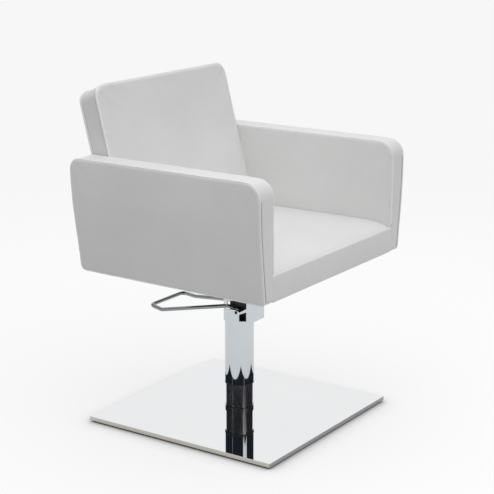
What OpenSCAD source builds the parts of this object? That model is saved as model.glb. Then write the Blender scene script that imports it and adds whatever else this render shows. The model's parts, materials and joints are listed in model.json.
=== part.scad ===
// Hydraulic styling chair for a hair salon: square mirror-polished floor plate, two-stage chrome column with
// a foot-operated pump, and a boxy armchair seat with a reclined fixed backrest.
// Millimetres. +Z up, origin on the floor under the column axis, the sitter faces -Y and +X is their left.

/* [Floor plate] */
// Side length of the square floor plate
base_w = 540; // [480:10:600]
// Thickness of the rubber underlay
gasket_t = 4.5; // [3:0.5:6]
// Distance of the underlay in from the plate's edge
gasket_inset = 6; // [4:1:30]
// Thickness of the steel core plate
core_t = 8.5; // [8:0.5:12]
// Thickness of the polished steel cover
cover_t = 1.5; // [1:0.5:2]

/* [Column] */
// Outer radius of the lower tube
lower_r = 34.5; // [34.5:0.1:34.6]
// Wall of the lower tube
lower_wall = 3; // [2.5:0.5:3]
// Outer radius of the upper tube, which rises with the seat
upper_r = 37; // [37:0.5:38]
// Wall of the upper tube
upper_wall = 1.5; // [1.4:0.1:1.5]
// Height of the upper tube's lower end with the seat right down
upper_foot = 84; // [84:1:90]
// Height of the upper tube's upper end with the seat right down
column_top = 250; // [250:1:260]
// Outer radius of the trim ring on the floor plate
trim_r = 36.8; // [36.5:0.1:39]
// Height of the trim ring
trim_h = 7; // [5:0.5:7]

/* [Swivel bearing] */
// Radius of the spigot that the column turns on
spigot_r = 16; // [15:0.5:16]
// Radius of a bearing ball
ball_r = 2.45; // [2.3:0.05:2.45]
// Number of bearing balls
ball_count = 16; // [8:1:20]

/* [Hydraulics] */
// Radius of the piston rod
rod_r = 14; // [12:0.5:14]
// Bore radius of the pump cylinder
cylinder_r = 20; // [20:0.5:21]
// Wall of the pump cylinder
cylinder_wall = 4; // [3:0.5:4]
// Outer radius of the oil reservoir tube
reservoir_r = 29.5; // [29:0.1:29.5]
// Radial clearance of every running fit
running_gap = 0.05; // [0.02:0.01:0.08]

/* [Pump head] */
// Width of the pump head
head_w = 74; // [74:1:78]
// Distance of the head's front face from the column axis
head_front = 50; // [48:1:56]
// Distance of the head's open back from the column axis
head_back = 22; // [20:1:24]
// Sheet thickness of the head
head_wall = 2.5; // [2:0.5:3]
// Distance of the lever pivot in front of the column axis
pivot_front = 15; // [14:1:16]
// Height of the lever pivot
pivot_z = 276; // [276:1:280]
// Radius of the lever's pivot pin
pin_r = 4.3; // [4:0.1:4.5]

/* [Pump lever] */
// Radius of the lever's rod
lever_r = 5; // [4.5:0.5:5.5]
// Distance of the lever's end bar behind the column axis
lever_reach = 227.7; // [215:1:240]
// Half of the lever loop's greatest width, on the rod's centre line
lever_half_w = 71.7; // [60:1:80]

/* [Seat] */
// Width over the armrests
overall_w = 657; // [640:1:680]
// Thickness of an armrest
arm_t = 60; // [56:1:64]
// Distance of the seat's front face from the column axis
seat_front = 279; // [270:1:290]
// Distance of the armrests' rear face from the column axis
arm_back = 262; // [255:1:275]
// Height of the underside of the seat
seat_bottom = 408; // [404:1:414]
// Height of the armrests
arm_top = 685; // [670:1:700]
// Height of the top of the front panel
panel_top = 467; // [462:1:472]
// Height of the seat cushion's crown
cushion_top = 484; // [480:1:490]

/* [Backrest] */
// Lean of the backrest from the vertical, in degrees
back_lean = 14.8; // [12:0.2:16]
// Thickness of the backrest
back_t = 58; // [54:1:60]
// Height of the backrest's front upper edge
back_top = 852; // [830:1:870]
// Distance of the backrest's front face behind the axis, at the seat board
back_foot_y = 117.6; // [110:1:122]

/* [Hidden] */

$fn = 96;
cut = 0.01;              // how far a cutting solid runs past the face that it cuts

// Heights in the floor plate and the swivel bearing
core_top = gasket_t + core_t;
base_top = core_top + cover_t;
flange_top = core_top + 7.5;
spigot_top = core_top + 55;
race_t = 2.5;
race_r = 30.8;
race_hole_r = 18;
ball_pitch_r = 24.5;
ball_z = flange_top + race_t + ball_r;
upper_race_z = flange_top + 7.5;
foot_z = upper_race_z + race_t;
foot_top = foot_z + 29.5;
clip_z = foot_top + 1;
clip_t = 1.5;
clip_groove_r = spigot_r - 1.2;
flange_r = 34;
screw_pitch_r = 25;

// Countersunk screws of the flange and the armrests
screw_r = 4;
mitre_gap = 0.6;         // open joint where the cover's turned-down edges meet
screw_head_r = 8;
screw_cone_h = 4;

// Column and hydraulics
lower_in = lower_r - lower_wall;
upper_in = upper_r - upper_wall;
lower_top = column_top - 12;
anchor_z = spigot_top + 4;
anchor_top = anchor_z + 8;
cylinder_foot = upper_foot + 2;
block_foot = column_top - 8;
gland_h = 10;
piston_z = block_foot - 24;
piston_top = piston_z + 14;
rod_neck_r = 9;
guide_h = 14;
bush_h = 15.5;
end_ring_h = 5;
key_w = 6;

// Pump head and lever
head_x = head_w / 2;
head_in = head_x - head_wall;
pivot_y = -pivot_front;
plunger_y = pivot_y + 16;
plunger_r = 4.5;
collar_r = 6.8;
collar_t = 2;
nose_r = 6;
plunger_top = pivot_z - nose_r - 0.5;
plunger_foot = block_foot + 7.5;
seal_z = block_foot + 10.5;
seal_t = 2.6;
spring_foot = block_foot + 14.5;
spring_pocket_r = 7.6;
spring_wire = 0.5;
spring_turns = 3;
spring_ring_r = 5.8;
hub_r = 9;
hub_x = head_in - 1.5;
block_x = 18;
arm_x = 26.6;
lever_bend = [arm_x, 14.7, pivot_z + 10.5];
lever_corner = [lever_half_w, lever_reach - 38, pivot_z - 18.5];
lever_end = [lever_half_w - 3.4, lever_reach, pivot_z - 13.3];
lever_dir = (lever_bend - [arm_x, pivot_y, pivot_z]) / norm(lever_bend - [arm_x, pivot_y, pivot_z]);
lever_root = [arm_x, pivot_y, pivot_z] + 6 * lever_dir;

// Seat
side_x = overall_w / 2;
inner_x = side_x - arm_t;
board_z = seat_bottom + 1;
board_t = 18;
board_top = board_z + board_t;
board_front = seat_front - 15;
board_back = 190;
plate_w = 200;
plate_t = 8;
plate_z = board_z - plate_t;
bolt_pitch = 150;
bolt_hole_r = 4.3;
wood_inset = 8;
arm_wood_low = 8;
arm_wood_rear = 22;
back_wood_drop = 12;
skirt_low = seat_bottom - 4;
arm_side_r = [10, 12, 28, 40];
arm_taper = 21;
arm_taper_top = 600;
bracket_t = 4;
bracket_z = board_top;
arm_screw_z = board_top + 21;
arm_screw_y = [-190, -60, 70];

// Backrest, in its own leaning frame: Y from the front face to the rear, Z up the slope
back_x = inner_x - 2.5;
back_low = 16;
back_len = (back_top - board_top - 3) / cos(back_lean);
back_wood_t = 18;
back_wood_y = 30;
back_bracket_x = 150;
back_bracket_t = 5;
back_bracket_w = 50;
foot_screw_y = [88, 104];
foot_screw_len = 16;

// ---- Shared shapes ----

// Ring of outer radius ro and inner radius ri, from height z up by h
module ring(ro, ri, z, h) {
    translate([0, 0, z]) difference() {
        cylinder(r = ro, h = h);
        translate([0, 0, -cut]) cylinder(r = ri, h = h + 2 * cut);
    }
}

// Square slab centred on the axis
module slab(w, z, h) {
    translate([-w / 2, -w / 2, z]) cube([w, w, h]);
}

// The same thing at both signs of X
module both_sides() {
    children();
    mirror([1, 0, 0]) children();
}

// A cylinder along X from x0 to x1
module rod_x(r, x0, x1) {
    translate([x0, 0, 0]) rotate([0, 90, 0]) cylinder(r = r, h = x1 - x0);
}

// Box given by its low and high corners
module box(low, high) {
    translate(low) cube(high - low);
}

// The flat outline drawn in Y and Z, drawn out along X from x0 to x1
module drawn_x(x0, x1) {
    translate([x0, 0, 0]) rotate([90, 0, 90]) linear_extrude(x1 - x0) children();
}

// The flat outline drawn in X and Z, drawn out along Y from y0 to y1
module drawn_y(y0, y1) {
    translate([0, y1, 0]) rotate([90, 0, 0]) linear_extrude(y1 - y0) children();
}

// What is cut away to round the corner at p to radius r; sx and sy point from the corner into the outline
module corner_cut(p, r, sx, sy) {
    translate(p) scale([sx, sy]) difference() {
        translate([-1, -1]) square(r + 1);
        translate([r, r]) circle(r = r);
    }
}

// Rectangle with four corner radii: low left, low right, high right, high left
module rounded_rect(low, high, r) {
    difference() {
        translate(low) square(high - low);
        corner_cut(low, r[0], 1, 1);
        corner_cut([high[0], low[1]], r[1], -1, 1);
        corner_cut(high, r[2], -1, -1);
        corner_cut([low[0], high[1]], r[3], 1, -1);
    }
}

// Points of an arc of radius r that rounds the corner b of the path a, b, c
function unit(v) = v / norm(v);
function bend_points(a, b, c, r, steps) =
    let (u = unit(a - b), v = unit(c - b), half = acos(u * v) / 2, centre = b + unit(u + v) * r / sin(half),
         e = unit(b - centre), w = unit(v - u), sweep = 90 - half)
    [for (i = [0:steps]) let (t = -sweep + 2 * sweep * i / steps) centre + r * (cos(t) * e + sin(t) * w)];

// Direction of a path at point i
function path_dir(path, i) = unit(path[min(i + 1, len(path) - 1)] - path[max(i - 1, 0)]);

// Side vectors carried along a path without twist
function carry(side, dir) = unit(side - (side * dir) * dir);
function side_vectors(path, side, i = 0) =
    i == len(path) ? [] : let (s = carry(side, path_dir(path, i))) concat([s], side_vectors(path, s, i + 1));

// A round rod of radius r along the path
module swept_rod(path, r, sides, side) {
    across = side_vectors(path, side);
    count = len(path);
    rings = [for (i = [0:count - 1]) for (k = [0:sides - 1])
        let (up = cross(path_dir(path, i), across[i]), t = 360 * k / sides)
        path[i] + r * (cos(t) * across[i] + sin(t) * up)];
    walls = [for (i = [0:count - 2]) for (k = [0:sides - 1])
        [i * sides + k, (i + 1) * sides + k, (i + 1) * sides + (k + 1) % sides, i * sides + (k + 1) % sides]];
    first_cap = [for (k = [0:sides - 1]) k];
    last_cap = [for (k = [sides - 1:-1:0]) (count - 1) * sides + k];
    polyhedron(points = rings, faces = concat([first_cap], walls, [last_cap]));
}

// Hexagon-headed screw pointing up from z = 0, with its head below
module hex_screw(shank_r, length, head_r, head_h) {
    translate([0, 0, -1]) cylinder(r = shank_r, h = length + 1);
    translate([0, 0, -head_h]) cylinder(r = head_r, h = head_h, $fn = 6);
}

// Countersunk screw pointing up from its head at z = 0, and the hole that it sits in
module countersunk_screw(length) {
    cylinder(r1 = screw_head_r, r2 = screw_r, h = screw_cone_h);
    cylinder(r = screw_r, h = length);
}

module countersunk_hole(depth) {
    translate([0, 0, -cut]) cylinder(r1 = screw_head_r + 0.1, r2 = screw_r + 0.1, h = screw_cone_h + cut);
    translate([0, 0, -cut]) cylinder(r = screw_r + 0.1, h = depth + 2 * cut);
}

// ---- Base body: what stands on the floor ----

module base_gasket() {
    color("#2b2b2d") slab(base_w - 2 * gasket_inset, 0, gasket_t);
}

// Places of the four screws that hold the flange
module at_flange_screws() {
    for (a = [45:90:315]) rotate(a) translate([screw_pitch_r, 0, 0]) children();
}

module base_core_plate() {
    color("#6d7072") difference() {
        slab(base_w - 2 * cover_t - 1, gasket_t, core_t);
        at_flange_screws() translate([0, 0, gasket_t]) countersunk_hole(core_t);
    }
}

module base_cover() {
    color("#dfe3e6") difference() {
        slab(base_w, gasket_t, core_t + cover_t);
        slab(base_w - 2 * cover_t, gasket_t - cut, core_t + cut);
        for (a = [45:90:315]) rotate(a)
            box([base_w / sqrt(2) - 4, -mitre_gap / 2, gasket_t - 1], [base_w, mitre_gap / 2, core_top - 0.5]);
        translate([0, 0, core_top - 1]) cylinder(r = flange_r + 0.1, h = cover_t + 2);
    }
}

module base_flange() {
    color("#8c9092") difference() {
        union() {
            translate([0, 0, core_top]) cylinder(r = flange_r, h = flange_top - core_top);
            translate([0, 0, core_top]) cylinder(r = spigot_r, h = spigot_top - core_top);
        }
        ring(spigot_r + 2, clip_groove_r, clip_z, clip_t + 0.1);
        at_flange_screws() translate([0, 0, core_top - cut]) cylinder(r = screw_r, h = 6);
    }
}

module flange_screws() {
    color("#9da1a4") at_flange_screws() translate([0, 0, gasket_t]) countersunk_screw(core_t + 5);
}

module column_trim_ring() {
    color("#cfd4d8") ring(trim_r, flange_r + 0.2, base_top, trim_h);
}

module bearing_lower_race() {
    color("#a9adb0") ring(race_r, race_hole_r, flange_top, race_t);
}

module bearing_balls() {
    color("#d5d8da") for (i = [0:ball_count - 1])
        rotate(360 * i / ball_count) translate([ball_pitch_r, 0, ball_z]) sphere(r = ball_r, $fn = 24);
}

module bearing_cage() {
    color("#b08d4a") difference() {
        ring(ball_pitch_r + 3.2, ball_pitch_r - 3.2, ball_z - 0.8, 1.6);
        for (i = [0:ball_count - 1]) rotate(360 * i / ball_count)
            translate([ball_pitch_r, 0, ball_z - 2]) cylinder(r = ball_r + 0.1, h = 4, $fn = 24);
    }
}

module spigot_circlip() {
    color("#3a3a3c") difference() {
        ring(spigot_r + 3, clip_groove_r, clip_z, clip_t);
        translate([0, -3, clip_z - cut]) cube([spigot_r + 5, 6, clip_t + 2 * cut]);
    }
}

// ---- Rotor body: the lower column, which turns on the base ----

module bearing_upper_race() {
    color("#a9adb0") ring(race_r, race_hole_r, upper_race_z, race_t);
}

module lower_tube() {
    color("#c4c9cd") ring(lower_r, lower_in, flange_top + 2, lower_top - flange_top - 2);
}

module tube_foot() {
    color("#7f8385") ring(lower_in, spigot_r + running_gap, foot_z, foot_top - foot_z);
}

module rod_anchor() {
    color("#7f8385") ring(lower_in, 8, anchor_z, anchor_top - anchor_z);
}

// Strip along the inside of the lower tube that keeps the seat from turning on its own
module torque_key() {
    color("#8c9092") intersection() {
        box([-key_w / 2, reservoir_r + 0.3, upper_foot], [key_w / 2, lower_r, piston_z - 2]);
        cylinder(r = lower_in, h = column_top);
    }
}

module piston_rod() {
    color("#d8dcdf") {
        translate([0, 0, anchor_z]) cylinder(r = 8, h = anchor_top - anchor_z);
        translate([0, 0, anchor_top]) cylinder(r = rod_r, h = piston_z - anchor_top);
        translate([0, 0, piston_z - cut]) cylinder(r = rod_neck_r, h = piston_top + 6 - piston_z);
    }
}

module piston() {
    color("#9da1a4") difference() {
        ring(cylinder_r - running_gap, rod_neck_r, piston_z, piston_top - piston_z);
        ring(cylinder_r + 1, cylinder_r - 3, piston_z + 5, 4);
    }
}

module piston_seal() {
    color("#1f1f21") ring(cylinder_r - 0.02, cylinder_r - 3, piston_z + 5, 4);
}

module piston_nut() {
    color("#9da1a4") difference() {
        translate([0, 0, piston_top]) cylinder(r = 14, h = 6, $fn = 6);
        translate([0, 0, piston_top - cut]) cylinder(r = rod_neck_r, h = 6 + 2 * cut);
    }
}

module upper_guide_ring() {
    color("#e8e4d8") ring(upper_in - running_gap, lower_r, lower_top - guide_h, guide_h);
}

// ---- Seat body: everything that rises with the seat ----

module column_tube() {
    color("#cfd4d8") ring(upper_r, upper_in, upper_foot, column_top - upper_foot);
}

module guide_bush() {
    color("#b08d4a") ring(upper_in, lower_r + running_gap, upper_foot + 0.5, bush_h);
}

module scraper_ring() {
    color("#1f1f21") ring(upper_r, lower_r + 0.1, upper_foot - 2.5, 2.5);
}

module pump_cylinder() {
    color("#8c9092") ring(cylinder_r + cylinder_wall, cylinder_r, cylinder_foot, block_foot - cylinder_foot);
}

module rod_gland() {
    color("#b08d4a") difference() {
        ring(cylinder_r, rod_r + running_gap, cylinder_foot, gland_h);
        ring(rod_r + 2.5, rod_r - 1, cylinder_foot + 3.5, 3);
    }
}

module rod_seal() {
    color("#1f1f21") ring(rod_r + 2.5, rod_r + 0.02, cylinder_foot + 3.5, 3);
}

module reservoir_tube() {
    color("#8c9092")
        ring(reservoir_r, reservoir_r - 2,
             cylinder_foot + end_ring_h, block_foot - cylinder_foot - end_ring_h);
}

module reservoir_end_ring() {
    color("#7f8385") difference() {
        ring(lower_in - 0.15, cylinder_r + cylinder_wall, cylinder_foot, end_ring_h);
        box([-key_w / 2 - 0.1, reservoir_r + 0.2, cylinder_foot - 1],
            [key_w / 2 + 0.1, lower_in + 1, cylinder_foot + end_ring_h + 1]);
    }
}

// Cast body of the pump: a plug in the column, and a block that carries the seat plate
module pump_block() {
    color("#242527") difference() {
        union() {
            translate([0, 0, block_foot]) cylinder(r = upper_in - 0.05, h = column_top - block_foot);
            translate([0, 0, column_top - cut]) cylinder(r = 29.9, h = head_wall + 2 * cut);
            box([-block_x, -head_front + 8, column_top + head_wall], [block_x, 16, plate_z]);
        }
        translate([0, pivot_y, pivot_z]) rod_x(hub_r + 1.2, -40, 40);
        box([-8, pivot_y, spring_foot + 1.5], [8, 17, pivot_z + 26]);
        translate([0, plunger_y, block_foot - cut]) cylinder(r = plunger_r + running_gap, h = 30);
        translate([0, plunger_y, seal_z]) cylinder(r = collar_r, h = seal_t);
        translate([0, plunger_y, spring_foot]) cylinder(r = spring_pocket_r, h = 3);
    }
}

// Cut-outs in the head's cheeks: the window that the lever comes out of, and the slot below it
module head_window() {
    polygon([
        [head_back + 1, pivot_z + 5], [10, pivot_z + 5], [-14, pivot_z + 6], [-26, pivot_z + 2],
        [-46.5, pivot_z + 14.5], [-46.5, pivot_z + 30], [-23, pivot_z + 32], [9.7, pivot_z + 26.5],
        [11, pivot_z + 16.5], [head_back + 1, pivot_z + 16.5]
    ]);
    polygon([
        [-24.5, pivot_z - 4], [-24.5, pivot_z - 21.5], [-46, pivot_z - 18], [-46, pivot_z + 6]
    ]);
}

module head_housing() {
    color("#cfd4d8") difference() {
        box([-head_x, -head_front, column_top], [head_x, head_back, plate_z]);
        box([-head_in, -head_front + head_wall, column_top + head_wall],
            [head_in, head_back + 1, plate_z + 1]);
        translate([0, 0, column_top - cut]) cylinder(r = 30, h = head_wall + 2 * cut);
        drawn_x(-head_x - 1, head_x + 1) head_window();
        translate([0, pivot_y, pivot_z]) rod_x(pin_r, -head_x - 1, head_x + 1);
    }
}

module lever_pivot_pin() {
    color("#2b2b2d") translate([0, pivot_y, pivot_z]) rod_x(pin_r, -head_x + 1, head_x - 1);
}

// Places of the four bolts that hold the seat board
module at_mount_bolts() {
    for (x = [-1, 1]) for (y = [-1, 1]) translate([x * bolt_pitch / 2, y * bolt_pitch / 2, 0]) children();
}

module seat_mount_plate() {
    color("#242527") difference() {
        slab(plate_w, plate_z, plate_t);
        at_mount_bolts() translate([0, 0, plate_z - cut]) cylinder(r = bolt_hole_r, h = plate_t + 2 * cut);
    }
}

module mount_bolts() {
    color("#9da1a4") at_mount_bolts() translate([0, 0, plate_z]) hex_screw(4, plate_t + 16, 7.2, 5.3);
}

module tee_nuts() {
    color("#b8bcbe") at_mount_bolts() {
        ring(5.2, 4, board_top - 9, 9);
        ring(11, 4, board_top, 1.5);
    }
}

module seat_board() {
    color("#c9a876") difference() {
        box([-inner_x + 0.3, -board_front, board_z], [inner_x - 0.3, board_back, board_top]);
        at_mount_bolts() {
            translate([0, 0, board_z - 1]) cylinder(r = bolt_hole_r, h = board_t + 2);
            translate([0, 0, board_top - 9]) cylinder(r = 5.2, h = 10);
        }
        at_foot_screws() translate([0, 0, bracket_t - cut])
            cylinder(r = screw_r, h = foot_screw_len - bracket_t + cut);
    }
}

module dust_cover() {
    color("#1f1f21") difference() {
        box([-inner_x + 4, -board_front + 4, seat_bottom], [inner_x - 4, board_back - 4, board_z]);
        slab(plate_w + 4, seat_bottom - 1, 3);
    }
}

// Foam block and its cover, crowned towards the front edge and resting on the seat board
module seat_cushion() {
    color("#e6e6e6") difference() {
        drawn_x(-inner_x + bracket_t + 0.8, inner_x - bracket_t - 0.8)
            rounded_rect([-board_front, board_top + bracket_t + 0.5], [back_foot_y - 0.6, cushion_top],
                         [1, 1, 6, 24]);
        at_mount_bolts() translate([0, 0, board_top]) cylinder(r = 13, h = 6);
    }
}

module front_panel() {
    color("#dcdcdc") drawn_x(-inner_x + 0.3, inner_x - 0.3)
        rounded_rect([-seat_front, skirt_low], [-board_front - 0.1, panel_top], [9, 1, 1, 5]);
}

module rear_panel() {
    color("#dcdcdc") drawn_x(-inner_x + 0.3, inner_x - 0.3)
        rounded_rect([board_back, skirt_low], [board_back + 14, panel_top - 2], [1, 6, 5, 1]);
}

// Outlines of an armrest: from the side, and from the front with its outer face at +X
module arm_side(inset) {
    rounded_rect([-seat_front + inset, skirt_low], [arm_back - inset, arm_top - inset],
                 [arm_side_r[0], arm_side_r[1], arm_side_r[2] - inset, arm_side_r[3] - inset]);
}

module arm_front(inset) {
    outer = side_x - inset;
    difference() {
        rounded_rect([inner_x + inset, skirt_low], [outer, arm_top - inset], [4, 1, 8, 8]);
        polygon([
            [outer, arm_taper_top], [outer - arm_taper, skirt_low + 10],
            [outer - arm_taper - 8.8, skirt_low - 1], [outer + 1, skirt_low - 1],
            [outer + 1, arm_taper_top]
        ]);
    }
}

// Screw holes through the inner side of an armrest
module at_arm_screws(x) {
    for (y = arm_screw_y) translate([x, y, arm_screw_z]) children();
}

module arm_frame() {
    difference() {
        intersection() {
            drawn_x(inner_x + wood_inset, side_x - wood_inset) arm_side(wood_inset);
            drawn_y(-seat_front, arm_back) arm_front(wood_inset);
            box([0, -seat_front, skirt_low + arm_wood_low], [side_x, arm_back - arm_wood_rear, arm_top]);
        }
        at_arm_screws(inner_x + wood_inset - 1) rod_x(screw_r, 0, 26);
    }
}

module arm_pad() {
    difference() {
        intersection() {
            drawn_x(inner_x, side_x) arm_side(0);
            drawn_y(-seat_front, arm_back) arm_front(0);
        }
        intersection() {
            drawn_x(inner_x + wood_inset, side_x - wood_inset) arm_side(wood_inset);
            drawn_y(-seat_front, arm_back) arm_front(wood_inset);
        }
        at_arm_screws(inner_x - 1) rod_x(screw_r + 0.5, 0, 12);
    }
}

module arm_frame_left() {
    color("#c9a876") arm_frame();
}

module arm_frame_right() {
    color("#c9a876") mirror([1, 0, 0]) arm_frame();
}

module arm_pad_left() {
    color("#e6e6e6") arm_pad();
}

module arm_pad_right() {
    color("#e6e6e6") mirror([1, 0, 0]) arm_pad();
}

// Steel angles between the seat board and the armrests
module arm_brackets() {
    leg = inner_x - 0.3;
    color("#9da1a4") both_sides() difference() {
        union() {
            box([leg - 32, -215, bracket_z], [leg, 95, bracket_z + bracket_t]);
            box([leg - bracket_t, -215, bracket_z], [leg, 95, arm_screw_z + 16]);
        }
        at_arm_screws(leg - bracket_t) rotate([0, 90, 0]) countersunk_hole(bracket_t);
    }
}

module arm_screws() {
    color("#b8bcbe") both_sides() at_arm_screws(inner_x - 0.3 - bracket_t)
        rotate([0, 90, 0]) countersunk_screw(36);
}

// Puts a shape into the backrest's leaning frame
module leaning() {
    translate([0, back_foot_y, board_top + 3]) rotate([-back_lean, 0, 0]) children();
}

// Backrest outline seen from the front, in its leaning frame
module back_outline(inset, low, low_r) {
    rounded_rect([-back_x + inset, low], [back_x - inset, back_len - inset],
                 [low_r, low_r, 32 - inset, 32 - inset]);
}

// Bolts between the backrest's board and its two steel angles
module at_back_screws() {
    for (x = [-1, 1]) for (z = [70, 130]) translate([x * back_bracket_x, back_wood_y, z]) children();
}

module back_frame() {
    color("#c9a876") leaning() difference() {
        drawn_y(back_wood_y, back_wood_y + back_wood_t) back_outline(wood_inset, back_low + 4, 0.5);
        box([-back_x, back_wood_y - 1, back_len - wood_inset - back_wood_drop],
            [back_x, back_wood_y + back_wood_t + 1, back_len]);
        at_back_screws() rotate([-90, 0, 0]) translate([0, 0, -1]) cylinder(r = 3, h = back_wood_t + 2);
    }
}

// Steel angles: one leg stands against the front of the backrest's board, the other lies on the seat board
module back_brackets() {
    low_x = back_bracket_x - back_bracket_w / 2;
    high_x = back_bracket_x + back_bracket_w / 2;
    color("#9da1a4") both_sides() difference() {
        union() {
            difference() {
                leaning()
                    box([low_x, back_wood_y - back_bracket_t, back_low - 30], [high_x, back_wood_y, 160]);
                box([0, 0, board_top - 60], [300, 260, board_top]);
            }
            box([low_x, back_foot_y - 40, board_top], [high_x, back_foot_y + 26, board_top + bracket_t]);
        }
        leaning() at_back_screws() rotate([-90, 0, 0]) translate([0, 0, -back_bracket_t - 1])
            cylinder(r = 3, h = back_bracket_t + 2);
        at_foot_screws() countersunk_hole(bracket_t);
    }
}

// Places of the wood screws that hold the backrest's angles to the seat board, heads up
module at_foot_screws() {
    for (x = [-1, 1]) for (y = foot_screw_y)
        translate([x * back_bracket_x, y, board_top + bracket_t]) rotate([180, 0, 0]) children();
}

module foot_screws() {
    color("#b8bcbe") at_foot_screws() countersunk_screw(foot_screw_len);
}

module back_screws() {
    color("#b8bcbe") leaning() at_back_screws() rotate([-90, 0, 0]) translate([0, 0, -back_bracket_t])
        hex_screw(3, back_bracket_t + back_wood_t - 1, 5.5, 4);
}

// Foam and cover around the backrest's board, open below for the board and the angles
module back_pad() {
    color("#e2e2e2") leaning() difference() {
        intersection() {
            drawn_y(0, back_t) back_outline(0, back_low, 6);
            drawn_x(-back_x, back_x) rounded_rect([0, back_low], [back_t, back_len], [2, 2, 12, 9]);
        }
        drawn_y(back_wood_y, back_wood_y + back_wood_t) back_outline(wood_inset, back_low - 2, 0.5);
        both_sides() box([back_bracket_x - back_bracket_w / 2 - 1, back_wood_y - 10, back_low - 2],
                         [back_bracket_x + back_bracket_w / 2 + 1, back_wood_y + 1, 162]);
    }
}

// ---- Lever body ----

module lever_hub() {
    color("#b9bec2") difference() {
        union() {
            translate([0, pivot_y, pivot_z]) rod_x(hub_r, -hub_x, hub_x);
            box([-6, pivot_y, pivot_z - nose_r], [6, plunger_y, pivot_z + nose_r]);
            translate([0, plunger_y, pivot_z]) rod_x(nose_r, -6, 6);
        }
        translate([0, pivot_y, pivot_z]) rod_x(pin_r + running_gap, -hub_x - 1, hub_x + 1);
        both_sides() translate(lever_root)
            rotate([-acos(lever_dir[2]), 0, 0]) cylinder(r = lever_r, h = 12);
    }
}

// Centre line of the whole lever, from one root round the loop to the other
function flipped(p) = [-p[0], p[1], p[2]];
lever_side_path = concat(
    [lever_root],
    bend_points(lever_root, lever_bend, lever_corner, 26, 6),
    bend_points(lever_bend, lever_corner, lever_end, 16, 6),
    bend_points(lever_corner, lever_end, flipped(lever_end), 14, 7)
);
lever_path = concat(lever_side_path,
    [for (i = [len(lever_side_path) - 1:-1:0]) flipped(lever_side_path[i])]);

module lever_rod() {
    color("#cfd4d8") swept_rod(lever_path, lever_r, 16, [1, 0, 0]);
}

// ---- Plunger body ----

// The plunger has a collar at its top that the spring pushes up
module pump_plunger() {
    color("#b9bec2") {
        translate([0, plunger_y, plunger_foot]) cylinder(r = plunger_r, h = plunger_top - plunger_foot);
        translate([0, plunger_y, plunger_top - collar_t]) cylinder(r = collar_r, h = collar_t);
    }
}

module plunger_seal() {
    color("#1f1f21") translate([0, plunger_y, 0]) ring(collar_r, plunger_r + 0.03, seal_z, seal_t);
}

module plunger_spring() {
    steps = 24;
    low = spring_foot + spring_wire + 0.05;
    high = plunger_top - collar_t - spring_wire - 0.05;
    color("#9da1a4") swept_rod(
        [for (i = [0:spring_turns * steps])
            let (t = i / steps)
            [spring_ring_r * cos(360 * t), plunger_y + spring_ring_r * sin(360 * t),
             low + (high - low) * t / spring_turns]],
        spring_wire, 8, [0, 0, 1]);
}

base_gasket();
base_core_plate();
base_cover();
base_flange();
flange_screws();
column_trim_ring();
bearing_lower_race();
bearing_balls();
bearing_cage();
spigot_circlip();
bearing_upper_race();
lower_tube();
tube_foot();
rod_anchor();
torque_key();
piston_rod();
piston();
piston_seal();
piston_nut();
upper_guide_ring();
column_tube();
guide_bush();
scraper_ring();
pump_cylinder();
rod_gland();
rod_seal();
reservoir_tube();
reservoir_end_ring();
pump_block();
head_housing();
lever_pivot_pin();
seat_mount_plate();
mount_bolts();
tee_nuts();
seat_board();
dust_cover();
seat_cushion();
front_panel();
rear_panel();
arm_frame_right();
arm_frame_left();
arm_pad_right();
arm_pad_left();
arm_brackets();
arm_screws();
back_frame();
back_brackets();
foot_screws();
back_screws();
back_pad();
lever_hub();
lever_rod();
pump_plunger();
plunger_seal();
plunger_spring();
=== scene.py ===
"""Styling chair: the looks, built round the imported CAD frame. Metres, +Z up, the sitter faces -Y."""
import bpy
import json
import math
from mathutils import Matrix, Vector, noise
from mathutils.bvhtree import BVHTree
from mathutils.kdtree import KDTree


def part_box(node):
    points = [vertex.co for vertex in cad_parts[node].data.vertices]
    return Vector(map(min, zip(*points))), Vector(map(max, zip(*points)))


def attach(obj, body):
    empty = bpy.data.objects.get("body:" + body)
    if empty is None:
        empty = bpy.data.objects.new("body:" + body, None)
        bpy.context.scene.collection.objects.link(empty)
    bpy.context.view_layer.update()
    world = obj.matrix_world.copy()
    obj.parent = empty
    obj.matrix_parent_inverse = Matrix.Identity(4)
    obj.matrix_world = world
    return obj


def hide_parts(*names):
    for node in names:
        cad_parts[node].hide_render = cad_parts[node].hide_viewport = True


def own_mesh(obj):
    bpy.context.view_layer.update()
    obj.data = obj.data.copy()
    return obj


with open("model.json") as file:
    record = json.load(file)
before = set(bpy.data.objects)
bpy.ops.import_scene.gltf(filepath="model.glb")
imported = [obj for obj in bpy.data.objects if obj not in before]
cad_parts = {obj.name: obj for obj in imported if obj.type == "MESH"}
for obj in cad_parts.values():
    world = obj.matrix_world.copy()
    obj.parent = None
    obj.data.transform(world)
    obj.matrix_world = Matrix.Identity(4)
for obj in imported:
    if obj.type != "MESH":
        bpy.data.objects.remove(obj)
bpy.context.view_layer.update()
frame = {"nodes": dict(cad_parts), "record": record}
NODES = frame["nodes"]
MM = 0.001
SEAT_BODY = "seat"


# ---------------------------------------------------------------- camera, floor, world and lights

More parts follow.
